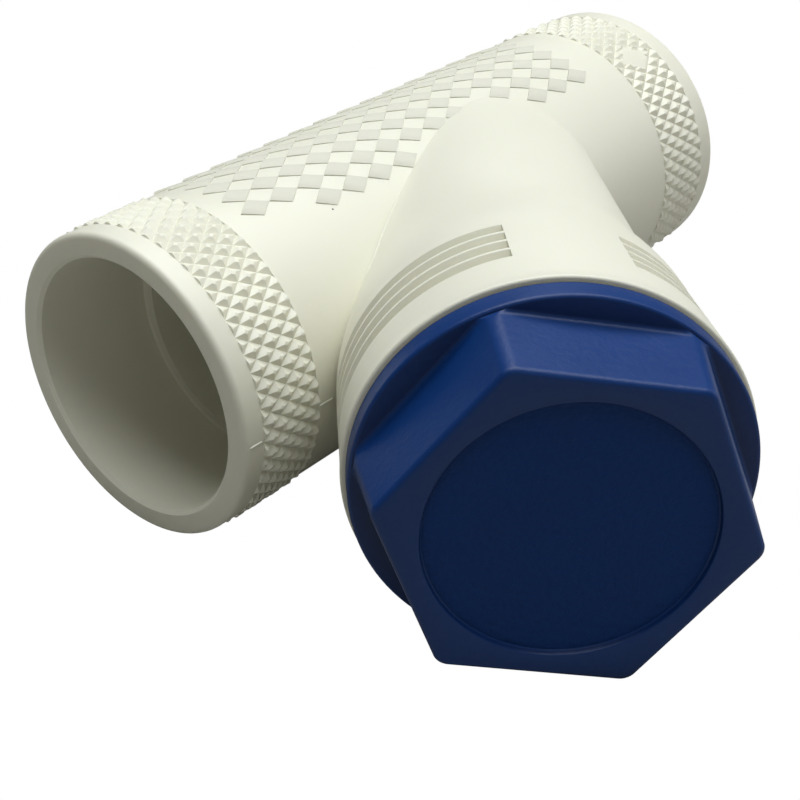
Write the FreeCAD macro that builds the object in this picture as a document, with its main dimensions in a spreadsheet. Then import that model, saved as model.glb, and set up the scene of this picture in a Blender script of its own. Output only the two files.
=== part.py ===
import FreeCAD, Part
import os

# Y-pattern run-and-branch fitting for irrigation pipe, with a screwed access plug.
# Frame: +X along the run from the near pipe stop to the far end, +Z up.
# Origin: centre of the near socket at its pipe stop. Sizes in millimetres.

doc = FreeCAD.newDocument("YPatternTee")
sheet = doc.addObject("Spreadsheet::Sheet", "Sizes")

SIZES = [
    # run of the body
    ("run_radius", 20.0),
    ("socket_radius", 16.75),
    ("socket_depth", 17.7),
    ("lead_in", 0.45),
    ("mouth_round", 0.8),
    ("passage_radius", 15.4),
    ("cross_x", 49.8),
    ("far_reach", 36.2),
    ("near_passage_gap", 31.0),
    ("far_passage_gap", 2.0),
    # branch of the body, heights measured along the branch axis from the crossing
    ("branch_angle", 45.0),
    ("neck_root_radius", 18.4),
    ("neck_radius", 19.7),
    ("neck_height", 38.0),
    ("flare_height", 55.0),
    ("boss_radius", 22.7),
    ("boss_height", 70.9),
    ("boss_round", 1.2),
    ("rib_start", 56.3),
    ("rib_pitch", 2.25),
    ("rib_land", 0.4),
    ("rib_depth", 0.55),
    ("rib_gap_angle", 34.8),
    ("rib_turn", -7.0),
    # chambers inside the body
    ("seat_bore_radius", 11.3),
    ("seat_height", 23.0),
    ("chamber_start", 27.0),
    ("chamber_radius", 16.5),
    ("thread_start", 55.5),
    # screwed plug
    ("thread_radius", 19.0),
    ("thread_fit", 0.06),
    ("thread_pitch", 3.0),
    ("shank_length", 13.4),
    ("relief_length", 2.4),
    ("relief_step", 1.5),
    ("relief_radius", "=thread_radius - relief_step"),
    ("flange_radius", 22.6),
    ("flange_height", 3.15),
    ("hex_height", 9.85),
    ("hex_across_flats", 39.1),
    ("hex_draft", 6.8),
    ("hex_corner_round", 1.5),
    ("hex_face_round", 0.7),
    ("recess_radius", 15.7),
    ("recess_depth", 0.7),
    ("cup_rise", 7.1),
    ("cup_height", "=boss_height + cup_rise"),
    # sealing washer
    ("washer_play", 0.3),
    ("washer_inner", "=relief_radius + washer_play"),
    ("washer_outer", 20.4),
    ("washer_pocket_gap", 0.3),
    ("washer_height", 2.0),
    # strainer cage and mesh
    ("cage_radius", 13.4),
    ("cage_fit", 0.08),
    ("cage_wall", 1.45),
    ("cage_lip", 1.2),
    ("cage_lip_height", 2.0),
    ("cage_end_height", 4.0),
    ("cage_hoop_height", 1.6),
    ("cage_rib_width", 2.6),
    ("mesh_fit", 0.05),
    ("mesh_wall", 0.35),
]
for row, (alias, value) in enumerate(SIZES, start=1):
    sheet.set("A%d" % row, alias)
    sheet.set("B%d" % row, str(value))
    sheet.setAlias("B%d" % row, alias)
doc.recompute()


def size(alias):
    return float(sheet.get(alias))


def bind(obj, prop, expression):
    """Tie one property to the sheet; names written as s.alias are sheet cells."""
    obj.setExpression(prop, expression.replace("s.", "Sizes."))


def along_run(obj, start):
    """Turn a primitive's own Z onto +X and put its base at the given station."""
    obj.Placement = FreeCAD.Placement(
        FreeCAD.Vector(0, 0, 0), FreeCAD.Rotation(FreeCAD.Vector(0, 1, 0), 90)
    )
    bind(obj, "Placement.Base.x", start)
    return obj


def drum(name, radius, height):
    obj = doc.addObject("Part::Cylinder", name)
    bind(obj, "Radius", radius)
    bind(obj, "Height", height)
    return obj


def taper(name, radius_low, radius_high, height):
    obj = doc.addObject("Part::Cone", name)
    bind(obj, "Radius1", radius_low)
    bind(obj, "Radius2", radius_high)
    bind(obj, "Height", height)
    return obj


def at_height(obj, height):
    bind(obj, "Placement.Base.z", height)
    return obj


def fuse(name, pieces):
    obj = doc.addObject("Part::MultiFuse", name)
    obj.Shapes = pieces
    obj.Refine = True
    return obj


def cut(name, base, tool):
    obj = doc.addObject("Part::Cut", name)
    obj.Base = base
    obj.Tool = tool
    obj.Refine = True
    return obj


def common(name, pieces):
    obj = doc.addObject("Part::MultiCommon", name)
    obj.Shapes = pieces
    return obj


def ring(name, outer, inner, start, height):
    """A tube about the branch axis, from one height up."""
    outside = at_height(drum(name + "_outside", outer, height), start)
    inside = at_height(drum(name + "_inside", inner, height + " + 2"), start + " - 1")
    return cut(name, outside, inside)


def on_branch(obj):
    """Stand a piece modelled about +Z on the branch axis, with its +X turned up."""
    up = FreeCAD.Vector(0, 0, 1)
    out = FreeCAD.Rotation(up, size("branch_angle")).multVec(FreeCAD.Vector(-1, 0, 0))
    side = out.cross(up)
    turn = FreeCAD.Rotation(up, side, out, "ZXY")
    obj.Placement = FreeCAD.Placement(FreeCAD.Vector(size("cross_x"), 0, 0), turn)
    bind(obj, "Placement.Base.x", "s.cross_x")
    return obj


# ---------------------------------------------------------------- body, outside
run_skin = along_run(
    drum("run_skin", "s.run_radius", "s.socket_depth + s.cross_x + s.far_reach"),
    "-s.socket_depth",
)
doc.recompute()
run_rounded = doc.addObject("Part::Fillet", "run_rounded")
run_rounded.Base = run_skin
run_rounded.Edges = [
    (number, size("mouth_round"), size("mouth_round"))
    for number, edge in enumerate(run_skin.Shape.Edges, start=1)
    if edge.Curve.TypeId == "Part::GeomCircle"
]

neck = taper("neck", "s.neck_root_radius", "s.neck_radius", "s.neck_height")
flare = at_height(
    taper("flare", "s.neck_radius", "s.boss_radius", "s.flare_height - s.neck_height"),
    "s.neck_height",
)
boss = at_height(
    drum("boss", "s.boss_radius", "s.boss_height - s.flare_height"), "s.flare_height"
)
branch_skin = fuse("branch_skin", [neck, flare, boss])
doc.recompute()
branch_rounded = doc.addObject("Part::Fillet", "branch_rounded")
branch_rounded.Base = branch_skin
rounds = []
for number, edge in enumerate(branch_skin.Shape.Edges, start=1):
    if edge.Curve.TypeId != "Part::GeomCircle":
        continue
    if abs(edge.Curve.Center.z - size("boss_height")) < 1e-6:
        rounds.append((number, size("boss_round"), size("boss_round")))
branch_rounded.Edges = rounds

# finger-grip grooves: four short rings in each side of the boss, plain at the top and bottom
grooves = []
for side in (0, 1):
    for step in range(4):
        label = "groove_%d_%d" % (side, step)
        low = "s.rib_start + %d * s.rib_pitch" % step
        wide = drum(label + "_wide", "s.boss_radius + 1", "s.rib_pitch - s.rib_land")
        lean = "-" if side == 0 else "+"
        bind(wide, "Angle", "180 - s.rib_gap_angle %s 2 * s.rib_turn" % lean)
        at_height(wide, low)
        wide.Placement.Rotation = FreeCAD.Rotation(
            FreeCAD.Vector(0, 0, 1),
            size("rib_turn") * (1 - 2 * side) + size("rib_gap_angle") / 2 + 180 * side,
        )
        core = drum(label + "_core", "s.boss_radius - s.rib_depth", "s.rib_pitch + 2")
        at_height(core, low + " - 1")
        grooves.append(cut(label, wide, core))
groove_set = fuse("groove_set", grooves)
branch_outside = on_branch(cut("branch_outside", branch_rounded, groove_set))
body_outside = fuse("body_outside", [run_rounded, branch_outside])

# ----------------------------------------------------------------- body, inside
near_socket = along_run(
    drum("near_socket", "s.socket_radius", "s.socket_depth + 1"), "-s.socket_depth - 1"
)
near_lead = along_run(
    taper("near_lead", "s.socket_radius + s.lead_in", "s.socket_radius", "s.lead_in"),
    "-s.socket_depth",
)
near_passage = along_run(
    drum("near_passage", "s.passage_radius", "s.cross_x - s.near_passage_gap + 1"), "-1"
)
far_passage = along_run(
    drum("far_passage", "s.passage_radius", "s.far_reach + s.far_passage_gap"),
    "s.cross_x - s.far_passage_gap",
)
far_socket = along_run(
    drum("far_socket", "s.socket_radius", "s.socket_depth + 1"),
    "s.cross_x + s.far_reach - s.socket_depth",
)
far_lead = along_run(
    taper("far_lead", "s.socket_radius", "s.socket_radius + s.lead_in", "s.lead_in"),
    "s.cross_x + s.far_reach - s.lead_in",
)
seat_bore = at_height(drum("seat_bore", "s.seat_bore_radius", "s.chamber_start + 4"), "-3")
cage_seat = at_height(
    drum("cage_seat", "s.cage_radius + s.cage_fit", "s.chamber_start - s.seat_height + 1"),
    "s.seat_height",
)
chamber = at_height(
    drum("chamber", "s.chamber_radius", "s.thread_start - s.chamber_start + 1"),
    "s.chamber_start",
)
thread_bore = at_height(
    drum("thread_bore", "s.thread_radius + s.thread_fit", "s.boss_height - s.thread_start + 1"),
    "s.thread_start",
)
washer_pocket = at_height(
    drum("washer_pocket", "s.washer_outer + s.washer_pocket_gap", "s.washer_height + 1"),
    "s.boss_height - s.washer_height",
)
branch_inside = on_branch(
    fuse("branch_inside", [seat_bore, cage_seat, chamber, thread_bore, washer_pocket])
)
body_inside = fuse(
    "body_inside",
    [near_socket, near_lead, near_passage, far_passage, far_socket, far_lead, branch_inside],
)
tee_body = cut("tee_body", body_outside, body_inside)

# ------------------------------------------------------------------------- plug
thread_shank = at_height(
    drum("thread_shank", "s.thread_radius", "s.shank_length - s.relief_length"),
    "s.boss_height - s.shank_length",
)
relief = at_height(
    drum("relief", "s.relief_radius", "s.relief_length + 1"),
    "s.boss_height - s.relief_length",
)
flange = at_height(drum("flange", "s.flange_radius", "s.flange_height"), "s.boss_height")
doc.recompute()
flange_rounded = doc.addObject("Part::Fillet", "flange_rounded")
flange_rounded.Base = flange
flange_rounded.Edges = [
    (number, 0.3, 0.3)
    for number, edge in enumerate(flange.Shape.Edges, start=1)
    if edge.Curve.TypeId == "Part::GeomCircle"
    and edge.Curve.Center.z > size("boss_height") + 1
]
hex_outline = doc.addObject("Part::RegularPolygon", "hex_outline")
hex_outline.Polygon = 6
bind(hex_outline, "Circumradius", "s.hex_across_flats / 2 / cos(30)")
bind(hex_outline, "Placement.Base.z", "s.boss_height + s.flange_height")
hex_outline.Placement.Rotation = FreeCAD.Rotation(FreeCAD.Vector(0, 0, 1), 18)
hex_block = doc.addObject("Part::Extrusion", "hex_block")
hex_block.Base = hex_outline
hex_block.DirMode = "Custom"
hex_block.Dir = FreeCAD.Vector(0, 0, 1)
hex_block.Solid = True
bind(hex_block, "LengthFwd", "s.hex_height")
bind(hex_block, "TaperAngle", "-s.hex_draft")
doc.recompute()
hex_top = size("boss_height") + size("flange_height") + size("hex_height")
hex_edges = []
for number, edge in enumerate(hex_block.Shape.Edges, start=1):
    heights = [vertex.Point.z for vertex in edge.Vertexes]
    if max(heights) - min(heights) > 1:
        hex_edges.append((number, size("hex_corner_round"), size("hex_corner_round")))
hex_corners = doc.addObject("Part::Fillet", "hex_corners")
hex_corners.Base = hex_block
hex_corners.Edges = hex_edges
doc.recompute()
hex_faced = doc.addObject("Part::Fillet", "hex_faced")
hex_faced.Base = hex_corners
hex_faced.Edges = [
    (number, size("hex_face_round"), size("hex_face_round"))
    for number, edge in enumerate(hex_corners.Shape.Edges, start=1)
    if min(vertex.Point.z for vertex in edge.Vertexes) > hex_top - 1e-4
]
face_recess = at_height(
    drum("face_recess", "s.recess_radius", "s.recess_depth + 1"),
    "s.boss_height + s.flange_height + s.hex_height - s.recess_depth",
)
cup = at_height(
    drum("cup", "s.cage_radius + s.cage_fit", "s.cup_height - s.boss_height + s.shank_length + 1"),
    "s.boss_height - s.shank_length - 1",
)
plug_skin = fuse("plug_skin", [thread_shank, relief, flange_rounded, hex_faced])
plug_hollow = fuse("plug_hollow", [face_recess, cup])
hex_plug = on_branch(cut("hex_plug", plug_skin, plug_hollow))

# --------------------------------------------------------------- sealing washer
sealing_washer = on_branch(
    ring("sealing_washer", "s.washer_outer", "s.washer_inner",
         "s.boss_height - s.washer_height", "s.washer_height")
)

# -------------------------------------------------------------- cage and screen
cage_inner = "s.cage_radius - s.cage_wall"
cage_parts = [
    ring("cage_low_lip", "s.cage_radius", cage_inner + " - s.cage_lip",
         "s.seat_height", "s.cage_lip_height"),
    ring("cage_high_lip", "s.cage_radius", cage_inner + " - s.cage_lip",
         "s.cup_height - s.cage_lip_height", "s.cage_lip_height"),
    ring("cage_low_end", "s.cage_radius", cage_inner, "s.seat_height", "s.cage_end_height"),
    ring("cage_high_end", "s.cage_radius", cage_inner,
         "s.boss_height - s.shank_length + 2",
         "s.cup_height - s.boss_height + s.shank_length - 2"),
]
for step in (1, 2, 3):
    cage_parts.append(
        ring("cage_hoop_%d" % step, "s.cage_radius - 0.3", cage_inner,
             "s.seat_height + %d * 9" % step, "s.cage_hoop_height")
    )
cage_bars = []
for step in range(3):
    bar = doc.addObject("Part::Box", "cage_bar_%d" % step)
    bind(bar, "Length", "s.cage_radius * 2")
    bind(bar, "Width", "s.cage_rib_width")
    bind(bar, "Height", "s.cup_height - s.seat_height")
    turned = FreeCAD.Rotation(FreeCAD.Vector(0, 0, 1), 60 * step)
    corner = turned.multVec(
        FreeCAD.Vector(-size("cage_radius"), -size("cage_rib_width") / 2, size("seat_height"))
    )
    bar.Placement = FreeCAD.Placement(corner, turned)
    cage_bars.append(bar)
cage_tube = ring("cage_tube", "s.cage_radius", cage_inner, "s.seat_height",
                 "s.cup_height - s.seat_height")
cage_ribs = common("cage_ribs", [cage_tube, fuse("cage_bar_set", cage_bars)])
screen_cage = on_branch(fuse("screen_cage", cage_parts + [cage_ribs]))
screen_mesh = on_branch(
    ring("screen_mesh", cage_inner + " - s.mesh_fit",
         cage_inner + " - s.mesh_fit - s.mesh_wall",
         "s.seat_height + s.cage_lip_height",
         "s.cup_height - s.seat_height - 2 * s.cage_lip_height")
)

doc.recompute()

NODES = {
    "tee_body": tee_body,
    "hex_plug": hex_plug,
    "sealing_washer": sealing_washer,
    "screen_cage": screen_cage,
    "screen_mesh": screen_mesh,
}
for obj in doc.Objects:
    if "Invalid" in obj.State or "Error" in obj.State:
        raise RuntimeError("feature failed: " + obj.Name)
os.makedirs("parts", exist_ok=True)
for name, obj in NODES.items():
    obj.Label = name
    shape = obj.Shape
    if shape.isNull() or not shape.isValid() or len(shape.Solids) != 1:
        raise RuntimeError("bad solid: %s (%d solids)" % (name, len(shape.Solids)))
    shape.exportStep("parts/%s.step" % name)
    box = shape.BoundBox
    print(name, "volume %.1f" % shape.Volume, "x %.2f %.2f y %.2f %.2f z %.2f %.2f" % (
        box.XMin, box.XMax, box.YMin, box.YMax, box.ZMin, box.ZMax))
print("parts written:", len(NODES))
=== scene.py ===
"""Looks of a 45 degree PVC branch fitting with a blue screw plug.

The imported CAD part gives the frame: +X along the run, +Z up, metres. The body and the
plug are rebuilt here as fine surfaces round the same axes and replace their CAD nodes;
the washer, cage and screen keep their CAD meshes and get worked materials.
"""

import math

import bpy
import numpy as np
from mathutils import Matrix, Vector


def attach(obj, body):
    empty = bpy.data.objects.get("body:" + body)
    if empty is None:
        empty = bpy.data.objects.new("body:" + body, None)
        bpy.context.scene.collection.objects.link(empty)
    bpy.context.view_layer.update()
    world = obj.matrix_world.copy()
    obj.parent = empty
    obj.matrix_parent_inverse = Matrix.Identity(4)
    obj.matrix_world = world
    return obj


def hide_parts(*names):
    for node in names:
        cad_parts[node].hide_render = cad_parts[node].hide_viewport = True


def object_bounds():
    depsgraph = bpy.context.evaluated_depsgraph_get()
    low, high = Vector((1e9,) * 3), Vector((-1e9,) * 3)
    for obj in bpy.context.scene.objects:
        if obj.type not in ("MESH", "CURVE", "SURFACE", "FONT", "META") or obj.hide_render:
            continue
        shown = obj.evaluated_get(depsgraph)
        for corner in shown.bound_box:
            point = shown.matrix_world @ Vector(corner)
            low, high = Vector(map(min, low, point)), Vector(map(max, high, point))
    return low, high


bl_info = {
    "name": "Y-pattern PVC fitting",
    "version": (1, 0, 0),
    "blender": (4, 5, 0),
    "location": "View3D > Sidebar > Fitting",
    "description": "Builds the surfaces, materials and studio of a PVC branch fitting",
    "category": "Object",
}

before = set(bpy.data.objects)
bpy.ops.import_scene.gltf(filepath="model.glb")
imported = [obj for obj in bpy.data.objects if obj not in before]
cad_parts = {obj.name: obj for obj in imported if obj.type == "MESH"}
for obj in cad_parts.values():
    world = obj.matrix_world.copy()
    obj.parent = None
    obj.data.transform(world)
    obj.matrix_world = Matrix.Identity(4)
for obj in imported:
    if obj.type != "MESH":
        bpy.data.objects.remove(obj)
START_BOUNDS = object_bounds()

MM = 0.001
TURN = 2.0 * math.pi


# ------------------------------------------------------------------ properties
def length(name, description, millimetres):
    """A length property whose default is given in millimetres."""
    return bpy.props.FloatProperty(
        name=name, description=description, default=millimetres * MM, unit="LENGTH", precision=5
    )


def angle(name, description, degrees):
    """An angle property whose default is given in degrees."""
    return bpy.props.FloatProperty(
        name=name, description=description, default=math.radians(degrees), subtype="ANGLE"
    )


def colour(name, description, code):
    """A colour property from an sRGB hex code, stored linear."""
    return bpy.props.FloatVectorProperty(
        name=name, description=description, subtype="COLOR", size=3, min=0.0, max=1.0,
        default=linear(code),
    )


def linear(code):
    """Linear RGB triple of an sRGB hex code."""
    parts = [int(code[i:i + 2], 16) / 255.0 for i in (1, 3, 5)]
    return tuple(c / 12.92 if c <= 0.04045 else ((c + 0.055) / 1.055) ** 2.4 for c in parts)


class FittingSizes(bpy.types.PropertyGroup):
    """Sizes of the fitting: the CAD sheet's, refined on the neck, boss, grooves and grips."""

    run_radius: length("Run radius", "Outside radius of the run", 20.0)
    socket_radius: length("Socket radius", "Bore of the glue sockets", 16.75)
    socket_depth: length("Socket depth", "Mouth to pipe stop", 17.7)
    lead_in: length("Lead-in", "Chamfer at each mouth", 0.45)
    mouth_round: length("Mouth round", "Rounding of the outer edge of each end", 0.8)
    passage_radius: length("Passage radius", "Bore behind the pipe stops", 15.4)
    cross_x: length("Crossing", "Stop plane to where the branch axis meets the run axis", 49.8)
    far_reach: length("Far reach", "Crossing to the far mouth", 36.2)
    near_gap: length("Near passage gap", "Crossing to the end of the near passage", 31.0)
    far_gap: length("Far passage gap", "How far the far passage passes the crossing", 2.0)
    neck_root: length("Neck root radius", "Branch radius at the crossing", 18.75)
    neck_radius: length("Neck radius", "Branch radius where the flare starts", 19.9)
    neck_height: length("Neck height", "Height where the flare starts", 38.0)
    flare_height: length("Flare height", "Height where the flare meets the boss", 55.0)
    boss_radius: length("Boss radius", "Outside radius of the boss", 22.7)
    boss_height: length("Boss height", "Height of the boss face", 70.9)
    boss_round: length("Boss round", "Rounding of the boss edge", 0.35)
    boss_draft: length("Boss draft", "How much less the boss radius is where the flare ends", 0.40)
    boss_swell: length("Boss swell", "How far the rim stands over the nominal boss", 0.50)
    lean_side: length("Side lean", "How far the neck sits off the axis towards the run", 0.45)
    lean_up: length("Upward lean", "How far the neck sits above the branch axis", 0.30)
    rib_start: length("Groove start", "Height of the first grip groove", 56.0)
    rib_pitch: length("Groove pitch", "Spacing of the grip grooves", 2.25)
    rib_land: length("Groove land", "Width of the ridge between grooves", 0.4)
    rib_depth: length("Groove depth", "Depth of the grip grooves", 0.85)
    rib_gap: angle("Groove gap", "Plain arc at the top and bottom of the boss", 34.8)
    rib_turn: angle("Groove gap turn", "Turn of the plain arc from straight up", -9.0)
    seat_bore: length("Seat bore", "Bore of the screen seat", 11.3)
    seat_height: length("Seat height", "Height of the screen seat", 23.0)
    chamber_start: length("Chamber start", "Height where the screen chamber starts", 27.0)
    chamber_radius: length("Chamber radius", "Radius of the screen chamber", 16.5)
    cage_bore: length("Cage bore", "Bore that guides the screen cage", 13.48)
    thread_start: length("Thread start", "Height where the threaded bore starts", 55.5)
    thread_radius: length("Thread radius", "Crest radius of the plug thread", 19.0)
    thread_fit: length("Thread fit", "Radial play of the thread", 0.06)
    thread_pitch: length("Thread pitch", "Rise of the thread in one turn", 3.0)
    thread_depth: length("Thread depth", "Depth of the plug thread", 1.3)
    washer_pocket: length("Washer pocket", "Radius of the washer pocket", 20.7)
    washer_height: length("Washer height", "Depth of the washer pocket", 2.0)
    shank_length: length("Shank length", "Length of the plug below its flange", 13.4)
    relief_length: length("Relief length", "Plain part of the shank under the flange", 2.4)
    relief_radius: length("Relief radius", "Radius of the plain part", 17.5)
    flange_radius: length("Flange radius", "Radius of the plug flange", 22.6)
    flange_height: length("Flange height", "Thickness of the plug flange", 3.15)
    hex_height: length("Hexagon height", "Height of the hexagon head", 9.85)
    hex_flats: length("Hexagon across flats", "Across flats at the flange", 39.1)
    hex_draft: angle("Hexagon draft", "Slope of each flat", 6.8)
    hex_turn: angle("Hexagon turn", "Turn of the first corner from straight up", 18.0)
    hex_corner: length("Hexagon corner round", "Rounding of the upright corners", 1.5)
    hex_round: length("Hexagon face round", "Rounding of the front edge", 0.7)
    recess_radius: length("Recess radius", "Radius of the round recess", 15.7)
    recess_depth: length("Recess depth", "Depth of the round recess", 0.7)
    cup_height: length("Cup height", "Height of the bottom of the plug's cup", 78.0)
    knurl_near: length("Near grip start", "Near mouth to the near grip band", 3.1)
    knurl_far: length("Far grip start", "Far mouth to the far grip band", 3.7)
    near_width: length("Near grip width", "Length of the near grip band", 9.3)
    far_width: length("Far grip width", "Length of the far grip band", 10.2)
    knurl_proud: length("Grip height", "Height of the pyramid tips above the run", 0.30)
    knurl_deep: length("Grip depth", "Depth of the valleys below the run", 0.24)


class FittingColours(bpy.types.PropertyGroup):
    """Base colours of the materials, as sRGB codes."""

    pvc: colour("Ivory PVC", "Body moulding", "#e9e8da")
    blue: colour("Blue plastic", "Screw plug", "#073472")
    rubber: colour("Black rubber", "Washer", "#1b1b1c")
    cage: colour("Grey plastic", "Screen cage", "#4a4d50")
    steel: colour("Steel wire", "Screen", "#a9aaac")


def sizes():
    return bpy.context.scene.fitting_sizes


def colours():
    return bpy.context.scene.fitting_colours


# -------------------------------------------------------------------- geometry
def branch_matrix():
    """Branch axes: +Z out along the branch at 45 degrees, +X straight up."""
    s = math.sqrt(0.5)
    cross = sizes().cross_x
    return Matrix((
        (0.0, -s, -s, cross),
        (0.0, s, -s, 0.0),
        (1.0, 0.0, 0.0, 0.0),
        (0.0, 0.0, 0.0, 1.0),
    ))


def run_matrix():
    """Run axes: +Z along the run, +X towards the branch side, +Y straight down."""
    return Matrix((
        (0.0, 0.0, 1.0, 0.0),
        (-1.0, 0.0, 0.0, 0.0),
        (0.0, -1.0, 0.0, 0.0),
        (0.0, 0.0, 0.0, 1.0),
    ))


def polar_solid(name, radius, height, around, matrix, rising=None):
    """A closed solid from rings about an axis.

    radius and height are arrays of shape (rings, steps). Point (i, j) lies at
    (radius cos around_j, radius sin around_j, height); the first and last rings are
    closed by one point on the axis each, at the mean height of the ring. If rising is
    given, every quad is cut in two: from its first corner where rising is true, and
    from its second corner elsewhere.
    """
    rings, steps = radius.shape
    x = radius * np.cos(around)[None, :]
    y = radius * np.sin(around)[None, :]
    points = np.stack([x, y, height], axis=2).reshape(-1, 3)
    low = np.array([[0.0, 0.0, height[0].mean()]])
    high = np.array([[0.0, 0.0, height[-1].mean()]])
    points = np.concatenate([points, low, high])
    rot = np.array(matrix.to_3x3())
    points = points @ rot.T + np.array(matrix.translation)
    i = np.arange(rings - 1)[:, None] * steps
    j = np.arange(steps)[None, :]
    k = (j + 1) % steps
    quads = np.stack([i + j, i + k, i + steps + k, i + steps + j], axis=2).reshape(-1, 4)
    if rising is not None:
        up = rising.reshape(-1)
        a, b, c, d = quads.T
        first = np.where(up[:, None], np.stack([a, b, c], 1), np.stack([a, b, d], 1))
        second = np.where(up[:, None], np.stack([a, c, d], 1), np.stack([b, c, d], 1))
        quads = np.concatenate([first, second])
    j = j[0]
    k = k[0]
    low_fan = np.stack([np.full(steps, rings * steps), k, j], axis=1)
    top = (rings - 1) * steps
    high_fan = np.stack([np.full(steps, rings * steps + 1), top + j, top + k], axis=1)
    return mesh_object(name, points, [quads, low_fan, high_fan])


def mesh_object(name, points, face_sets):
    """A mesh object from a point array and face arrays of any corner counts."""
    loops = np.concatenate([faces.ravel() for faces in face_sets])
    counts = np.concatenate([np.full(len(faces), faces.shape[1]) for faces in face_sets])
    starts = np.concatenate([[0], np.cumsum(counts)[:-1]])
    mesh = bpy.data.meshes.new(name)
    mesh.vertices.add(len(points))
    mesh.vertices.foreach_set("co", points.astype(np.float32).ravel())
    mesh.loops.add(len(loops))
    mesh.loops.foreach_set("vertex_index", loops.astype(np.int32))
    mesh.polygons.add(len(counts))
    mesh.polygons.foreach_set("loop_start", starts.astype(np.int32))
    mesh.update(calc_edges=True)
    mesh.validate()
    obj = bpy.data.objects.new(name, mesh)
    bpy.context.scene.collection.objects.link(obj)
    return obj


def profile(points):
    """Radius and height columns of a list of (radius, height) pairs."""
    table = np.array(points, dtype=float)
    return table[:, 0], table[:, 1]


def plain_lathe(name, points, steps, matrix):
    """A closed solid of revolution from (radius, height) pairs."""
    radius, height = profile(points)
    around = np.arange(steps) * TURN / steps
    ones = np.ones(steps)
    return polar_solid(name, radius[:, None] * ones, height[:, None] * ones, around, matrix)


def combine(base, tool, operation):
    """Boolean of two closed solids, left in the first; the second is removed."""
    modifier = base.modifiers.new("combine", "BOOLEAN")
    modifier.operation = operation
    modifier.solver = "MANIFOLD"
    modifier.object = tool
    graph = bpy.context.evaluated_depsgraph_get()
    result = bpy.data.meshes.new_from_object(base.evaluated_get(graph))
    if len(result.polygons) == 0:
        raise RuntimeError("the boolean with %s left nothing" % tool.name)
    base.modifiers.clear()
    old = base.data
    base.data = result
    bpy.data.meshes.remove(old)
    used = tool.data
    bpy.data.objects.remove(tool)
    bpy.data.meshes.remove(used)
    return base


def shade(obj, degrees):
    """Smooth shading with edges sharper than the given angle kept crisp."""
    mesh = obj.data
    mesh.polygons.foreach_set("use_smooth", np.ones(len(mesh.polygons), dtype=bool))
    mesh.set_sharp_from_angle(angle=math.radians(degrees))
    mesh.update()


def arc(centre_r, centre_h, radius, start, end, count):
    """Points (radius, height) along a circular arc, angles in degrees from +radius."""
    t = np.radians(np.linspace(start, end, count))
    return list(zip(centre_r + radius * np.cos(t), centre_h + radius * np.sin(t)))


def smooth_step(t):
    t = np.clip(t, 0.0, 1.0)
    return t * t * (3.0 - 2.0 * t)


# ------------------------------------------------------------------- materials
def new_material(name):
    """An empty node material with a principled shader; returns both."""
    material = bpy.data.materials.new(name)
    material.use_nodes = True
    shader = material.node_tree.nodes["Principled BSDF"]
    return material, shader


def add(holder, kind, settings=None, links=None):
    """Add a node to a material or world.

    Settings go to attributes or input values, links to its inputs.
    """
    node = holder.node_tree.nodes.new(kind)
    for key, value in (settings or {}).items():
        if isinstance(key, int) or key in node.inputs:
            node.inputs[key].default_value = value
        else:
            setattr(node, key, value)
    for key, source in (links or {}).items():
        join(holder, source, node.inputs[key])
    return node


def join(holder, source, target):
    holder.node_tree.links.new(source, target)


def scale_for(millimetres):
    """Scale of a noise or Voronoi pattern whose cells are this wide."""
    return 1.0 / (millimetres * MM)


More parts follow.
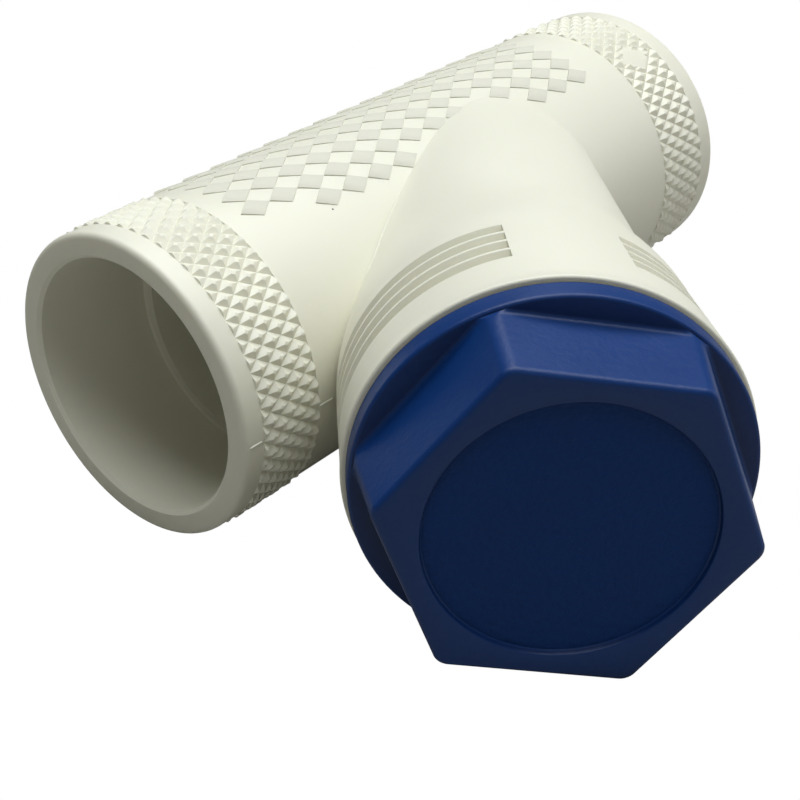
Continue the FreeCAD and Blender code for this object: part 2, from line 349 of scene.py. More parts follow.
def pvc_material(textured):
    """Injection-moulded rigid PVC: satin, faintly mottled, with rare dark specks.

    The clouds are about 14 mm wide. At most one in ten cells of 8 mm holds a speck. The
    mould's own grain is too fine to show, so it is drawn 1.1 mm wide.

    The textured finish is the duller, spark-eroded one of the checker plates. Its base
    colour is also darkened, as painted shade on the plates.
    """
    material, shader = new_material("ivory_pvc_spark_texture_painted_shade" if textured else "ivory_pvc_moulding")
    # The rougher finish is real. The plates' base colour is darkened to 0.83 as painted shade.
    plate_shade = 0.83 if textured else 1.0
    base = tuple(c * plate_shade for c in colours().pvc)
    place = add(material, "ShaderNodeTexCoord").outputs["Object"]
    flow = add(material, "ShaderNodeTexNoise",
               {"Scale": scale_for(14.3), "Detail": 3.0, "Roughness": 0.5}, {"Vector": place})
    tint = add(material, "ShaderNodeMix", {"data_type": "RGBA"}, {"Factor": flow.outputs["Fac"]})
    tint.inputs[6].default_value = (base[0] * 0.985, base[1] * 0.985, base[2] * 0.96, 1.0)
    tint.inputs[7].default_value = (base[0], base[1], base[2], 1.0)
    spots = add(material, "ShaderNodeTexVoronoi",
                {"Scale": scale_for(8.333), "Randomness": 1.0}, {"Vector": place})
    near = add(material, "ShaderNodeMath", {"operation": "LESS_THAN", 1: 0.024},
               {0: spots.outputs["Distance"]})
    pick = add(material, "ShaderNodeSeparateColor", {}, {"Color": spots.outputs["Color"]})
    rare = add(material, "ShaderNodeMath", {"operation": "LESS_THAN", 1: 0.10},
               {0: pick.outputs["Red"]})
    speck = add(material, "ShaderNodeMath", {"operation": "MULTIPLY"},
                {0: near.outputs[0], 1: rare.outputs[0]})
    dirty = add(material, "ShaderNodeMix", {"data_type": "RGBA"}, {"Factor": speck.outputs[0]})
    join(material, tint.outputs[2], dirty.inputs[6])
    dirty.inputs[7].default_value = linear("#4a463a") + (1.0,)
    join(material, dirty.outputs[2], shader.inputs["Base Color"])
    low, high = (0.62, 0.78) if textured else (0.36, 0.50)
    rough = add(material, "ShaderNodeMapRange", {"To Min": low, "To Max": high},
                {"Value": flow.outputs["Fac"]})
    join(material, rough.outputs["Result"], shader.inputs["Roughness"])
    grain = add(material, "ShaderNodeTexNoise", {"Scale": scale_for(1.111), "Detail": 2.0},
                {"Vector": place})
    bump = add(material, "ShaderNodeBump",
               {"Strength": 0.25 if textured else 0.06, "Distance": 0.0002},
               {"Height": grain.outputs["Fac"]})
    join(material, bump.outputs["Normal"], shader.inputs["Normal"])
    shader.inputs["IOR"].default_value = 1.53
    shader.inputs["Subsurface Weight"].default_value = 0.12
    shader.inputs["Subsurface Radius"].default_value = (0.0022, 0.0020, 0.0012)
    shader.inputs["Subsurface Scale"].default_value = 1.0
    return material


def blue_material(textured):
    """Moulded blue polyolefin; the recess floor has a spark-eroded texture.

    Pigment clouds are about 6 mm wide. The grain is finer than the render can show, so
    it is drawn 0.7 to 0.9 mm wide. Within 8 mm of another wall an ambient occlusion
    term darkens the base colour. This is painted shade for corners that get less light
    than the lamps alone give them.
    """
    name = "blue_plastic_textured" if textured else "blue_plastic_moulding"
    material, shader = new_material(name)
    base = colours().blue
    place = add(material, "ShaderNodeTexCoord").outputs["Object"]
    cloud = add(material, "ShaderNodeTexNoise", {"Scale": scale_for(6.25), "Detail": 4.0},
                {"Vector": place})
    tint = add(material, "ShaderNodeMix", {"data_type": "RGBA"}, {"Factor": cloud.outputs["Fac"]})
    tint.inputs[6].default_value = (base[0] * 0.88, base[1] * 0.88, base[2] * 0.9, 1.0)
    tint.inputs[7].default_value = (base[0] * 1.1, base[1] * 1.1, base[2] * 1.08, 1.0)
    # Painted shade: ambient occlusion within 8 mm darkens the base colour in corners and under the
    # hexagon.
    corner = add(material, "ShaderNodeAmbientOcclusion", {"samples": 8, "Distance": 8 * MM})
    painted_shade_factor = add(material, "ShaderNodeMapRange",
               {"From Min": 0.35, "From Max": 0.85, "To Min": 0.08, "To Max": 1.0},
               {"Value": corner.outputs["AO"]})
    shaded_base_colour = add(material, "ShaderNodeVectorMath", {"operation": "SCALE"},
               {0: tint.outputs[2], "Scale": painted_shade_factor.outputs["Result"]})
    join(material, shaded_base_colour.outputs["Vector"], shader.inputs["Base Color"])
    low, high = (0.55, 0.75) if textured else (0.34, 0.5)
    rough = add(material, "ShaderNodeMapRange", {"To Min": low, "To Max": high},
                {"Value": cloud.outputs["Fac"]})
    join(material, rough.outputs["Result"], shader.inputs["Roughness"])
    grain = add(material, "ShaderNodeTexNoise",
                {"Scale": scale_for(0.6667 if textured else 0.9091), "Detail": 3.0,
                 "Roughness": 0.6},
                {"Vector": place})
    bump = add(material, "ShaderNodeBump",
               {"Strength": 0.75 if textured else 0.16, "Distance": 0.0003},
               {"Height": grain.outputs["Fac"]})
    join(material, bump.outputs["Normal"], shader.inputs["Normal"])
    shader.inputs["IOR"].default_value = 1.5
    shader.inputs["Specular IOR Level"].default_value = 0.20 if textured else 0.34
    return material


def rubber_material():
    """Moulded nitrile rubber: dull black with a powdery surface, in flecks of 2 mm."""
    material, shader = new_material("black_nitrile_rubber")
    place = add(material, "ShaderNodeTexCoord").outputs["Object"]
    dust = add(material, "ShaderNodeTexNoise", {"Scale": scale_for(2.0), "Detail": 4.0},
               {"Vector": place})
    shader.inputs["Base Color"].default_value = tuple(colours().rubber) + (1.0,)
    rough = add(material, "ShaderNodeMapRange", {"To Min": 0.6, "To Max": 0.85},
                {"Value": dust.outputs["Fac"]})
    join(material, rough.outputs["Result"], shader.inputs["Roughness"])
    bump = add(material, "ShaderNodeBump", {"Strength": 0.2, "Distance": 0.0002},
               {"Height": dust.outputs["Fac"]})
    join(material, bump.outputs["Normal"], shader.inputs["Normal"])
    return material


def cage_material():
    """Moulded grey polypropylene of the screen cage: waxy, with clouds of about 4.5 mm."""
    material, shader = new_material("grey_polypropylene")
    place = add(material, "ShaderNodeTexCoord").outputs["Object"]
    cloud = add(material, "ShaderNodeTexNoise", {"Scale": scale_for(4.545), "Detail": 3.0},
                {"Vector": place})
    shader.inputs["Base Color"].default_value = tuple(colours().cage) + (1.0,)
    rough = add(material, "ShaderNodeMapRange", {"To Min": 0.4, "To Max": 0.6},
                {"Value": cloud.outputs["Fac"]})
    join(material, rough.outputs["Result"], shader.inputs["Roughness"])
    bump = add(material, "ShaderNodeBump", {"Strength": 0.1, "Distance": 0.0002},
               {"Height": cloud.outputs["Fac"]})
    join(material, bump.outputs["Normal"], shader.inputs["Normal"])
    return material


def screen_material():
    """Woven stainless wire cloth: bare metal with the weave in bump and painted shade between the
    wires.

    A wave's bands repeat every TURN / 20 of a unit, which puts a wire every 0.35 mm.
    """
    material, shader = new_material("stainless_wire_cloth")
    place = add(material, "ShaderNodeTexCoord").outputs["Object"]
    wires = TURN / (20.0 * 0.349 * MM)
    weave = add(material, "ShaderNodeTexWave",
                {"Scale": wires, "bands_direction": "Z", "Distortion": 0.0}, {"Vector": place})
    weft = add(material, "ShaderNodeTexWave",
               {"Scale": wires, "bands_direction": "DIAGONAL", "Distortion": 0.0},
               {"Vector": place})
    cloth = add(material, "ShaderNodeMath", {"operation": "MULTIPLY"},
                {0: weave.outputs["Fac"], 1: weft.outputs["Fac"]})
    # Painted shade: the steel is darkened to 0.35 in the dips between the wires.
    shade_map = add(material, "ShaderNodeMix", {"data_type": "RGBA"}, {"Factor": cloth.outputs[0]})
    steel = tuple(colours().steel)
    shade_map.inputs[6].default_value = tuple(c * 0.35 for c in steel) + (1.0,)
    shade_map.inputs[7].default_value = steel + (1.0,)
    join(material, shade_map.outputs[2], shader.inputs["Base Color"])
    shader.inputs["Metallic"].default_value = 1.0
    shader.inputs["Roughness"].default_value = 0.38
    bump = add(material, "ShaderNodeBump", {"Strength": 0.6, "Distance": 0.0002},
               {"Height": cloth.outputs[0]})
    join(material, bump.outputs["Normal"], shader.inputs["Normal"])
    return material


# ------------------------------------------------------------------------ body
KNURL_STARTS = 56


def knurl_height(x, around, start, end, s):
    """Height of a grip band over the run.

    Two families of V-grooves cross at a slant: with u along the run in thirds of the
    band and v round the run in starts, each pyramid stands on a diamond |u| + |v| < 1/2
    and its height falls linearly from a small flat top to the edge.
    """
    middle = 0.5 * (start + end)
    u = 3.0 * (x - middle) / (end - start)
    v = around * KNURL_STARTS / TURN + 0.25
    a = u + v
    b = u - v
    fall_a = np.abs(a - np.round(a)) * 2.0
    fall_b = np.abs(b - np.round(b)) * 2.0
    tip = 1.0 - np.maximum(fall_a, fall_b)
    height = -s.knurl_deep + (s.knurl_proud + s.knurl_deep) * np.minimum(tip / 0.80, 1.0)
    inside = (x > start) & (x < end)
    return np.where(inside, height, 0.0)


def run_outside(s):
    """Outside of the run: a drum with rounded ends and two pyramid grip bands."""
    r, rd = s.run_radius, s.mouth_round
    x0 = -s.socket_depth
    x1 = s.cross_x + s.far_reach
    steps = KNURL_STARTS * 8
    around = np.arange(steps) * TURN / steps
    near = (x0 + s.knurl_near, x0 + s.knurl_near + s.near_width)
    far = (x1 - s.knurl_far - s.far_width, x1 - s.knurl_far)
    edge = 0.04 * MM

    def band(span):
        inner = np.linspace(span[0] + edge, span[1] - edge, 25)
        return np.concatenate([[span[0] - edge], inner, [span[1] + edge]])

    plain = np.linspace(near[1] + 1.0 * MM, far[0] - 1.0 * MM, 24)
    low = arc(r - rd, x0 + rd, rd, -90, 0, 7)
    high = arc(r - rd, x1 - rd, rd, 0, 90, 7)
    stations = np.concatenate([
        [h for _, h in low], band(near), plain, band(far), [h for _, h in high]])
    base = np.concatenate([
        [q for q, _ in low], np.full(len(stations) - 14, r), [q for q, _ in high]])
    x = stations[:, None] * np.ones(steps)
    th = np.ones(len(stations))[:, None] * around[None, :]
    radius = base[:, None] + knurl_height(x, th, near[0], near[1], s)
    radius = radius + knurl_height(x, th, far[0], far[1], s) * bare_spot(x, th, far)
    mid_x = 0.5 * (stations[1:] + stations[:-1])[:, None]
    mid_a = around[None, :] + 0.5 * TURN / steps
    middle = np.where(mid_x < s.cross_x, 0.5 * (near[0] + near[1]), 0.5 * (far[0] + far[1]))
    third = np.where(mid_x < s.cross_x, s.near_width, s.far_width) / 3.0
    column = np.floor(2.0 * (mid_x - middle) / third)
    row = np.floor(2.0 * (mid_a * KNURL_STARTS / TURN + 0.25))
    rising = np.mod(column + row, 2) > 0.5
    return polar_solid("tee_body_looks", radius, x, around, run_matrix(), rising)


def bare_spot(x, around, far):
    """0 over the small plain diamond in the far grip band, 1 elsewhere."""
    centre_x = 0.5 * (far[0] + far[1]) + 0.2 * MM
    centre_a = math.radians(-59.0)
    half_x = 3.6 * MM
    half_a = math.radians(7.6)
    da = np.angle(np.exp(1j * (around - centre_a))) / half_a
    dx = (x - centre_x) / half_x
    return np.where(np.abs(da) + np.abs(dx) < 1.0, 0.0, 1.0)


def groove_mask(around, s):
    """1 where the grip grooves run, 0 over the plain arcs at the top and bottom."""
    half = s.rib_gap / 2
    top = np.abs(np.angle(np.exp(1j * (around - s.rib_turn)))) > half
    low = np.abs(np.angle(np.exp(1j * (around - math.pi + s.rib_turn)))) > half
    return (top & low).astype(float)


def branch_radius(height, s):
    """Neck radius: a slight taper, a smooth flare, then the drafted boss up to its rim."""
    t = (height - s.neck_height) / (s.flare_height - s.neck_height)
    up = np.clip((height - s.flare_height) / (s.boss_height - s.flare_height), 0, 1)
    neck = s.neck_root + (s.neck_radius - s.neck_root) * np.clip(height / s.neck_height, -0.3, 1)
    low = s.boss_radius - s.boss_draft
    high = s.boss_radius + s.boss_swell
    return neck + (low - s.neck_radius) * smooth_step(t) + (high - low) * up


def branch_lean(height, around, s):
    """First-order shift of the neck off its axis, fading to nothing at the boss rim."""
    fade = 1.0 - smooth_step((height - s.flare_height) / (s.boss_height - s.flare_height))
    return fade * (s.lean_side * np.sin(around) + s.lean_up * np.cos(around))


def branch_outside(s):
    """Outside of the branch: tapered neck, smooth flare, grooved boss, rounded rim."""
    tiny = math.radians(0.12)
    half = s.rib_gap / 2
    edges = [s.rib_turn - half, s.rib_turn + half]
    edges += [math.pi - s.rib_turn - half, math.pi - s.rib_turn + half]
    around = np.linspace(0, TURN, 360, endpoint=False)
    extra = [e + d for e in edges for d in (-tiny, tiny)]
    around = np.unique(np.concatenate([around, np.mod(extra, TURN)]))
    neck = np.linspace(-4 * MM, s.rib_start - 0.5 * MM, 46)
    heights = [neck]
    cuts = [np.zeros(len(neck))]
    width = s.rib_pitch - s.rib_land
    wall = 0.12 * MM
    for step in range(4):
        low = s.rib_start + step * s.rib_pitch
        heights.append(np.array([low, low + 0.06 * MM, low + 0.38 * MM, low + width - wall,
                                 low + width]))
        cuts.append(np.array([0.0, 0.08, 1.0, 1.0, 0.0]))
    lip = np.linspace(s.rib_start + 4 * s.rib_pitch, s.boss_height - s.boss_round, 4)
    heights.append(lip)
    cuts.append(np.zeros(len(lip)))
    edge = s.boss_radius + s.boss_swell - s.boss_round
    rim = arc(edge, s.boss_height - s.boss_round, s.boss_round, 6, 90, 9)
    height = np.concatenate(heights)
    cut = np.concatenate(cuts)
    base = branch_radius(height, s)
    lean = branch_lean(height[:, None], around[None, :], s)
    radius = base[:, None] + lean - s.rib_depth * cut[:, None] * groove_mask(around, s)[None, :]
    rim_r = np.array([q for q, _ in rim])[:, None] * np.ones(len(around))
    rim_h = np.array([h for _, h in rim])
    radius = np.concatenate([radius, rim_r])
    height = np.concatenate([height, rim_h])[:, None] * np.ones(len(around))
    return polar_solid("branch_outside", radius, height, around, branch_matrix())


def thread_wave(phase):
    """Trapezoid thread form: 1 on the crest, 0 in the root, straight flanks between."""
    p = np.abs(phase - np.round(phase)) * 2.0
    return np.clip((0.72 - p) / 0.44, 0.0, 1.0)


def thread_rings(s, low, high, crest, root, half_turn, fade, steps, count):
    """Rings of a right-hand thread between two heights.

    The phase is (height / pitch) - (angle / turn), so turning the piece by one turn and
    lifting it by one pitch leaves the surface where it was. Near each end the thread
    fades to the root over the given length.
    """
    around = np.arange(steps) * TURN / steps
    height = np.linspace(low, high, count)[:, None] * np.ones(steps)
    phase = height / s.thread_pitch - around[None, :] / TURN + half_turn
    ends = np.minimum(height - low, high - height) / fade
    wave = thread_wave(phase) * np.clip(ends, 0.0, 1.0)
    return root + (crest - root) * wave, height


def branch_inside(s):
    """Seat bore, cage bore, screen chamber, threaded bore and washer pocket."""
    steps = 240
    ones = np.ones(steps)
    root = s.thread_radius + s.thread_fit
    crest = s.thread_radius - s.thread_depth + 0.12 * MM
    low = s.thread_start
    high = s.boss_height - s.washer_height - 0.3 * MM
    thread_r, thread_h = thread_rings(s, low, high, crest, root, 0.5, 1.2 * MM, steps, 64)
    before = [(s.seat_bore, -3 * MM), (s.seat_bore, s.seat_height),
              (s.cage_bore, s.seat_height), (s.cage_bore, s.chamber_start),
              (s.chamber_radius, s.chamber_start), (s.chamber_radius, low - 2.2 * MM)]
    after = [(root, high + 0.1 * MM), (root, s.boss_height - s.washer_height),
             (s.washer_pocket, s.boss_height - s.washer_height),
             (s.washer_pocket, s.boss_height + 1 * MM)]
    r_a, h_a = profile(before)
    r_b, h_b = profile(after)
    radius = np.concatenate([r_a[:, None] * ones, thread_r, r_b[:, None] * ones])
    height = np.concatenate([h_a[:, None] * ones, thread_h, h_b[:, None] * ones])
    around = np.arange(steps) * TURN / steps
    return polar_solid("branch_inside", radius, height, around, branch_matrix())


def run_inside(s):
    """The two sockets with their lead-ins, stops and passages, as two solids."""
    x0 = -s.socket_depth
    x1 = s.cross_x + s.far_reach
    sr, pr, li = s.socket_radius, s.passage_radius, s.lead_in
    near = [(sr + li, x0 - MM), (sr + li, x0), (sr, x0 + li), (sr, -0.25 * MM),
            (sr - 0.25 * MM, 0.0), (pr, 0.0), (pr, s.cross_x - s.near_gap)]
    far = [(pr, s.cross_x - s.far_gap), (pr, x1 - s.socket_depth),
           (sr - 0.25 * MM, x1 - s.socket_depth), (sr, x1 - s.socket_depth + 0.25 * MM),
           (sr, x1 - li), (sr + li, x1), (sr + li, x1 + MM)]
    matrix = run_matrix()
    return [plain_lathe("near_inside", near, 240, matrix),
            plain_lathe("far_inside", far, 240, matrix)]


# Checker pattern on the top of the run: raised diamonds in every other place. Stations
# are millimetres from the crossing, angles are degrees from the branch side.
CHECK_PITCH_X = 4.9
CHECK_PITCH_A = 9.3
CHECK_FIRST_X = -44.9
CHECK_FIRST_A = -72.3
CHECK_SPAN_X = (-53.1, 15.0)
CHECK_SPAN_A = (-122.0, -60.0)
CHECK_ROWS = range(-8, 2)
CHECK_COLUMNS = range(-3, 14)
PLATE_LIFT = 0.42
PLATE_SINK = 0.70
PLATE_EDGE = 0.40
PLATE_FOOT = 0.35


def plate_centres(s):
    """Station and angle of every plate that lies in the pattern and clear of the neck."""
    left, right = (s.cross_x + x * MM for x in CHECK_SPAN_X)
    low, high = (math.radians(a) for a in CHECK_SPAN_A)
    centres = []
    for row in CHECK_ROWS:
        ca = math.radians(CHECK_FIRST_A) + row * math.radians(CHECK_PITCH_A)
        for col in CHECK_COLUMNS:
            cx = s.cross_x + CHECK_FIRST_X * MM + col * CHECK_PITCH_X * MM
            left_out = col < 1 and row == 1
            if left <= cx <= right and low <= ca <= high and not left_out:
                if not inside_branch(cx, ca, s):
                    centres.append((cx, ca))
    return centres


def checker_islands(s):
    """Raised diamond plates on the run, each a wedge that sinks towards the far end.

    Every plate is a small grid in its own diamond coordinates (p, q in -1..1):
    station = centre + half pitch * (p + q) / 2, angle = centre + half pitch * (q - p) / 2.
    Its height falls along the run and rolls off like a quarter sine towards the edge
    p = -1. The rim of the grid is folded down into the run so that the plate has walls.
    """
    hx = 0.5 * CHECK_PITCH_X * MM
    ha = math.radians(0.5 * CHECK_PITCH_A)
    centres = np.array(plate_centres(s))
    line = np.array([-1.0, -0.99, -0.93, -0.82, -0.68, -0.5, -0.25, 0.0, 0.5, 0.93, 0.99, 1.0])
    p, q = np.meshgrid(line, line, indexing="ij")
    rim = (np.abs(p) > 0.995) | (np.abs(q) > 0.995)
    along = 0.5 * (p + q)
    across = 0.5 * (q - p)
    rise = np.sin(0.5 * math.pi * np.clip((p + 1.0) / 0.9, 0.0, 1.0))
    roll = PLATE_EDGE + (1.0 - PLATE_EDGE) * rise
    wedge = 1.0 - PLATE_SINK * smooth_step((along + 1.0) / 2.0)
    lift = (PLATE_LIFT * roll * wedge - 0.02) * MM
    lift = np.where(rim, -PLATE_FOOT * MM, lift)
    x = centres[:, 0][:, None, None] + hx * along
    a = centres[:, 1][:, None, None] + ha * across
    r = s.run_radius + lift[None]
    points = np.stack([x, -r * np.cos(a), -r * np.sin(a)], axis=3)
    n = len(line)
    count = len(centres)
    index = np.arange(count * n * n).reshape(count, n, n)
    top = np.stack([index[:, :-1, :-1], index[:, :-1, 1:], index[:, 1:, 1:], index[:, 1:, :-1]],
                   axis=3).reshape(-1, 4)
    ring = np.concatenate([index[:, 0, :-1], index[:, :-1, -1], index[:, -1, :0:-1],
                           index[:, :0:-1, 0]], axis=1)
    return mesh_object("checker_islands", points.reshape(-1, 3), [top, ring[:, ::-1]])


def inside_branch(cx, ca, s):
    """Whether a plate on the run would touch the neck."""
    x = cx - s.cross_x
    out = s.run_radius * math.cos(ca)
    down = s.run_radius * math.sin(ca)
    root = math.sqrt(0.5)
    height = root * (out - x)
    side = root * (-x - out)
    if height < 0:
        return False
    neck = s.neck_root + (s.neck_radius - s.neck_root) * min(height / s.neck_height, 1.0)
    return math.hypot(side, down) < neck + 0.2 * MM


def bead(name, lines, normals, radii):
    """Thin closed beads along lines of points; every bead tapers to its two ends.

    Around each point lies a six-sided ring in the plane of the surface normal and of
    the direction across the line; the ring radius follows a quarter-power sine of the
    way along the line.
    """
    sides = 6
    turn = np.arange(sides) * TURN / sides
    points, quads, caps, base = [], [], [], 0
    for line, normal, radius in zip(lines, normals, radii):
        along = np.gradient(line, axis=0)
        along /= np.linalg.norm(along, axis=1)[:, None]
        across = np.cross(along, normal)
        across /= np.linalg.norm(across, axis=1)[:, None]
        count = len(line)
        share = np.sin(math.pi * (np.arange(count) + 0.5) / count) ** 0.25
        r = (radius * share)[:, None, None]
        ring = np.cos(turn)[None, :, None] * across[:, None]
        ring = ring + np.sin(turn)[None, :, None] * normal[:, None]
        points.append((line[:, None] + r * ring).reshape(-1, 3))
        i = base + np.arange(count - 1)[:, None] * sides
        j = np.arange(sides)[None, :]
        k = (j + 1) % sides
        quads.append(np.stack([i + j, i + sides + j, i + sides + k, i + k], axis=2).reshape(-1, 4))
        caps.append(base + np.arange(sides)[None, :])
        caps.append(base + (count - 1) * sides + np.arange(sides)[None, ::-1])
        base += count * sides
    return mesh_object(name, np.concatenate(points), [np.concatenate(quads), np.concatenate(caps)])


def run_point(x, around, radius):
    """Points on the run and their outward normals."""
    normal = np.stack([np.zeros_like(x), -np.cos(around), -np.sin(around)], axis=1)
    middle = np.stack([x, np.zeros_like(x), np.zeros_like(x)], axis=1)
    return middle + radius * normal, normal


def junction_station(around, s):
    """Where the neck leaves the run on the acute side, as a station for each angle.

    The station x is found by repeated halving: further from the crossing than the
    junction, the distance from the branch axis is more than the neck radius.
    """
    root = math.sqrt(0.5)
    out = s.run_radius * np.cos(around)
    down = s.run_radius * np.sin(around)
    low = np.full_like(around, -60 * MM)
    high = np.full_like(around, -20 * MM)
    for _ in range(24):
        x = 0.5 * (low + high)
        height = root * (out - x)
        side = root * (-x - out)
        turn = np.arctan2(side, -down)
        outside = np.hypot(side, down) > branch_radius(height, s) + branch_lean(height, turn, s)
        low = np.where(outside, x, low)
        high = np.where(outside, high, x)
    return s.cross_x + 0.5 * (low + high)


def mould_lines(s):
    """Moulding flash: two stretches on the run's side and one in the acute corner.

    The one in the corner stands off the run, because both walls hide its foot.
    """
    side_line = 0.14 * MM
    corner_line = 0.20 * MM
    side_angle = math.radians(3.6)
    corner_span = np.radians((-50.0, -27.0))
    side_end = s.cross_x - 52.6 * MM
    x0 = -s.socket_depth + s.mouth_round
    spans = [(x0, x0 + s.knurl_near - 1.1 * MM),
             (x0 + s.knurl_near + s.near_width - 0.7 * MM, side_end)]
    lines, normals = [], []
    for low, high in spans:
        x = np.linspace(low, high, 40)
        line, normal = run_point(x, np.full_like(x, side_angle), s.run_radius)
        lines.append(line)
        normals.append(normal)
    around = np.linspace(corner_span[0], corner_span[1], 90)
    line, normal = run_point(junction_station(around, s), around, s.run_radius + corner_line)
    lines.append(line)
    normals.append(normal)
    return bead("mould_lines", lines, normals, [side_line, side_line, corner_line])


class FITTING_OT_body(bpy.types.Operator):
    """Build the ivory PVC body: run, grip bands, checker pattern, branch and bores"""

    bl_idname = "fitting.body"
    bl_label = "Body"

    def execute(self, context):
        s = sizes()
        body = run_outside(s)
        body = combine(body, branch_outside(s), "UNION")
        for hollow in run_inside(s):
            body = combine(body, hollow, "DIFFERENCE")
        body = combine(body, branch_inside(s), "DIFFERENCE")
        shade(body, 24)
        pvc = pvc_material(False)
        body.data.materials.clear()
        body.data.materials.append(pvc)
        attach(body, "body")
        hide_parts("tee_body")
        # The plates' finish is rougher and has painted shade in its darker base colour.
        spark = pvc_material(True)
        for extra, finish in ((checker_islands(s), spark), (mould_lines(s), pvc)):
            shade(extra, 34)
            extra.data.materials.append(finish)
            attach(extra, "body")
        return {"FINISHED"}


# ------------------------------------------------------------------------ plug
PLUG_STEPS = 720


def hexagon_radius(around, flats, corner):
    """Polar radius of a hexagon with rounded corners.

    In each sixth the flat lies at flats / 2 from the centre; close to the corner the
    radius is that of a circle of the corner rounding, centred on the corner's line.
    """
    sector = TURN / 6
    t = np.mod(around + sector / 2, sector) - sector / 2
    to_corner = np.abs(t)
    inner = flats / 2 - corner
    centre = inner / math.cos(sector / 2)
    flat_angle = sector / 2 - to_corner
    flat = (flats / 2) / np.cos(flat_angle)
    tangent = math.atan2(inner * math.tan(sector / 2), flats / 2)
    along = centre * np.cos(to_corner)
    rounded = along + np.sqrt(np.maximum(corner ** 2 - (centre * np.sin(to_corner)) ** 2, 0.0))
    return np.where(flat_angle > tangent, rounded, flat)


def plug_solid(s):
    """The whole plug as one skin of polar rings.

    Rings run from the bottom of the cup down its wall, round the end of the shank, up
    the thread, out under the flange, up to the hexagon, over its rounded edge and down
    into the round recess.
    """
    steps = PLUG_STEPS
    around = np.arange(steps) * TURN / steps
    ones = np.ones(steps)
    b = s.boss_height
    low = b - s.shank_length
    root = s.thread_radius - s.thread_depth
    rows_r, rows_h = [], []

    def rings(points):
        r, h = profile(points)
        rows_r.append(r[:, None] * ones)
        rows_h.append(h[:, None] * ones)

    rings([(s.cage_bore, s.cup_height), (s.cage_bore, low + 0.6 * MM),
           (s.cage_bore + 0.6 * MM, low), (root - 0.5 * MM, low), (root, low + 0.5 * MM)])
    r, h = thread_rings(s, low + 0.6 * MM, b - s.relief_length, s.thread_radius, root, 0.0,
                        1.0 * MM, steps, 46)
    rows_r.append(r)
    rows_h.append(h)
    rings([(s.relief_radius, b - s.relief_length + 0.2 * MM), (s.relief_radius, b)])
    top = b + s.flange_height
    f = s.flange_radius
    rings([(f - 0.25 * MM, b), (f, b + 0.25 * MM)])
    rings(arc(f - 0.45 * MM, top - 0.45 * MM, 0.45 * MM, 0, 90, 6))
    head = top + s.hex_height
    turn = around - s.hex_turn
    slope = math.tan(s.hex_draft)
    foot = 0.5 * MM
    corner = s.hex_corner + 0.4 * MM
    for k in np.linspace(0, 1, 5):
        grow = foot * (1 - math.sin(k * math.pi / 2))
        rise = foot * (1 - math.cos(k * math.pi / 2))
        flats = s.hex_flats - 2 * rise * slope + 2 * grow
        ring = hexagon_radius(turn, flats, corner)
        rows_r.append(np.minimum(ring, f - 0.46 * MM)[None])
        rows_h.append((top + rise) * ones[None])
    for h_now in np.linspace(foot + 0.2 * MM, s.hex_height - s.hex_round, 10):
        flats = s.hex_flats - 2 * h_now * slope
        ring = hexagon_radius(turn, flats, corner)
        rows_r.append(np.minimum(ring, f - 0.1 * MM)[None])
        rows_h.append((top + h_now) * ones[None])
    edge_flats = s.hex_flats - 2 * (s.hex_height - s.hex_round) * slope
    for k in np.linspace(0.15, 1, 7):
        inset = s.hex_round * (1 - math.cos(k * math.pi / 2))
        rise = s.hex_round * math.sin(k * math.pi / 2)
        ring = hexagon_radius(turn, edge_flats - 2 * inset, corner)
        rows_r.append(ring[None])
        rows_h.append((head - s.hex_round + rise) * ones[None])
    rr = s.recess_radius
    rings([(rr + 0.35 * MM, head), (rr + 0.1 * MM, head - 0.1 * MM), (rr, head - 0.3 * MM),
           (rr - 0.05 * MM, head - s.recess_depth + 0.15 * MM),
           (rr - 0.2 * MM, head - s.recess_depth)])
    count = sum(len(rows) for rows in rows_r)
    rings([(rr * k, head - s.recess_depth) for k in (0.9, 0.6, 0.3, 0.05)])
    solid = polar_solid("hex_plug_looks", np.concatenate(rows_r), np.concatenate(rows_h), around,
                        branch_matrix())
    return solid, (count - 1) * steps


class FITTING_OT_plug(bpy.types.Operator):
    """Build the blue screw plug: hexagon head, flange, thread and cup"""

    bl_idname = "fitting.plug"
    bl_label = "Plug"

    def execute(self, context):
        s = sizes()
        plug, floor_from = plug_solid(s)
        shade(plug, 32)
        plug.data.materials.append(blue_material(False))
        plug.data.materials.append(blue_material(True))
        quads = len(plug.data.polygons) - 2 * PLUG_STEPS
        slots = np.zeros(len(plug.data.polygons), dtype=np.int32)
        slots[floor_from:quads] = 1
        slots[quads + PLUG_STEPS:] = 1
        plug.data.polygons.foreach_set("material_index", slots)
        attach(plug, "plug")
        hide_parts("hex_plug")
        return {"FINISHED"}


class FITTING_OT_inner(bpy.types.Operator):
    """Give the washer, the screen cage and the screen their materials"""

    bl_idname = "fitting.inner"
    bl_label = "Washer, cage and screen"

    def execute(self, context):
        makers = {"sealing_washer": rubber_material, "screen_cage": cage_material,
                  "screen_mesh": screen_material}
        for node, maker in makers.items():
            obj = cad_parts[node]
            obj.data.materials.clear()
            obj.data.materials.append(maker())
        return {"FINISHED"}


# ----------------------------------------------------------------------- stage
def emission_world(strength_seen, strength_light):
    """Backdrop that is white to the camera and a dim soft fill to everything else."""
    world = bpy.data.worlds.new("studio")
    bpy.context.scene.world = world
    world.use_nodes = True
    world.node_tree.nodes.clear()
    seen = add(world, "ShaderNodeBackground",
               {"Color": (1.0, 1.0, 1.0, 1.0), "Strength": strength_seen})
    fill = add(world, "ShaderNodeBackground",
               {"Color": (1.0, 0.97, 0.86, 1.0), "Strength": strength_light})
    path = add(world, "ShaderNodeLightPath")
    mix = add(world, "ShaderNodeMixShader", {},
              {"Fac": path.outputs["Is Camera Ray"], 1: fill.outputs[0], 2: seen.outputs[0]})
    add(world, "ShaderNodeOutputWorld", {}, {"Surface": mix.outputs[0]})


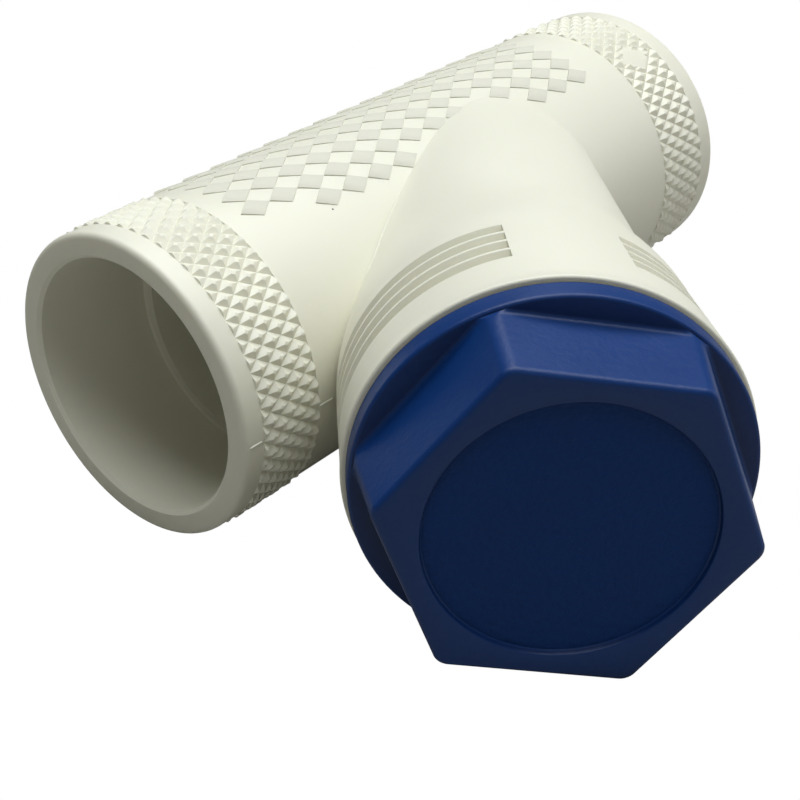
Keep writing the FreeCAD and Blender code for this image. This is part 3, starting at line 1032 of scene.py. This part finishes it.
def floor_material():
    """Pale paper floor, plain white where the camera looks straight at it."""
    material, shader = new_material("white_paper")
    shader.inputs["Base Color"].default_value = (0.36, 0.355, 0.33, 1.0)
    shader.inputs["Roughness"].default_value = 0.9
    glow = add(material, "ShaderNodeEmission", {"Color": (1.0, 1.0, 1.0, 1.0), "Strength": 1.0})
    path = add(material, "ShaderNodeLightPath")
    mix = add(material, "ShaderNodeMixShader", {},
              {"Fac": path.outputs["Is Camera Ray"], 1: shader.outputs[0], 2: glow.outputs[0]})
    join(material, mix.outputs[0], material.node_tree.nodes["Material Output"].inputs["Surface"])
    return material


def area_light(name, place, target, size, power, tint):
    """A square soft box that faces the target."""
    data = bpy.data.lights.new(name, "AREA")
    data.shape = "SQUARE"
    data.size = size
    data.energy = power
    data.color = tint
    lamp = bpy.data.objects.new(name, data)
    direction = Vector(target) - Vector(place)
    turn = direction.to_track_quat("-Z", "Y").to_matrix().to_4x4()
    lamp.matrix_world = Matrix.Translation(place) @ turn
    bpy.context.scene.collection.objects.link(lamp)


class FITTING_OT_stage(bpy.types.Operator):
    """Set up the floor, the soft boxes and the camera"""

    bl_idname = "fitting.stage"
    bl_label = "Stage"

    def execute(self, context):
        s = sizes()
        low = START_BOUNDS[0][2]
        side = 1.2
        corners = np.array([[-side, -side, low], [side, -side, low], [side, side, low],
                            [-side, side, low]])
        floor = mesh_object("floor", corners, [np.array([[0, 1, 2, 3]])])
        floor.data.materials.append(floor_material())
        emission_world(1.0, 0.085)
        centre = (s.cross_x - 20 * MM, -15 * MM, 0.0)
        area_light("top_box", (0.12, -0.02, 0.62), centre, 0.70, 5.7, (0.975, 1.0, 1.01))
        area_light("front_fill", (-0.55, -0.75, 0.35), centre, 0.6, 0.30, (1.0, 1.0, 1.0))
        area_light("side_fill", (0.62, -0.45, 0.22), centre, 0.5, 0.8, (1.0, 1.0, 1.0))
        camera = bpy.data.cameras.new("camera")
        camera.sensor_fit = "HORIZONTAL"
        camera.sensor_width = 36.0
        camera.lens = 70.73
        camera.shift_y = -0.125
        camera.clip_start = 0.01
        eye = bpy.data.objects.new("camera", camera)
        right = Vector((0.64488, -0.7636, -0.0323))
        up = Vector((0.3724, 0.27704, 0.88576))
        back = Vector((-0.66741, -0.58324, 0.46302))
        place = Vector((s.cross_x - 169.309 * MM, -133.187 * MM, 96.512 * MM))
        turn = Matrix((right, up, back)).transposed().to_4x4()
        eye.matrix_world = Matrix.Translation(place) @ turn
        bpy.context.scene.collection.objects.link(eye)
        bpy.context.scene.camera = eye
        bpy.context.scene.view_settings.view_transform = "Standard"
        return {"FINISHED"}


class FITTING_PT_panel(bpy.types.Panel):
    """Buttons and sizes of the fitting"""

    bl_idname = "FITTING_PT_panel"
    bl_label = "PVC fitting"
    bl_space_type = "VIEW_3D"
    bl_region_type = "UI"
    bl_category = "Fitting"

    def draw(self, context):
        layout = self.layout
        for operator in OPERATORS:
            layout.operator(operator.bl_idname)
        for group in (context.scene.fitting_sizes, context.scene.fitting_colours):
            box = layout.box()
            for name in group.__annotations__:
                box.prop(group, name)


OPERATORS = (FITTING_OT_body, FITTING_OT_plug, FITTING_OT_inner, FITTING_OT_stage)
CLASSES = (FittingSizes, FittingColours) + OPERATORS + (FITTING_PT_panel,)


def register():
    for cls in CLASSES:
        bpy.utils.register_class(cls)
    bpy.types.Scene.fitting_sizes = bpy.props.PointerProperty(type=FittingSizes)
    bpy.types.Scene.fitting_colours = bpy.props.PointerProperty(type=FittingColours)


def unregister():
    del bpy.types.Scene.fitting_colours
    del bpy.types.Scene.fitting_sizes
    for cls in reversed(CLASSES):
        bpy.utils.unregister_class(cls)


def plain(box):
    return [[float(value) for value in corner] for corner in box]


def main():
    register()
    for step in (bpy.ops.fitting.body, bpy.ops.fitting.plug, bpy.ops.fitting.inner,
                 bpy.ops.fitting.stage):
        if step() != {"FINISHED"}:
            raise RuntimeError("a step did not finish")


if __name__ == "__main__":
    main()
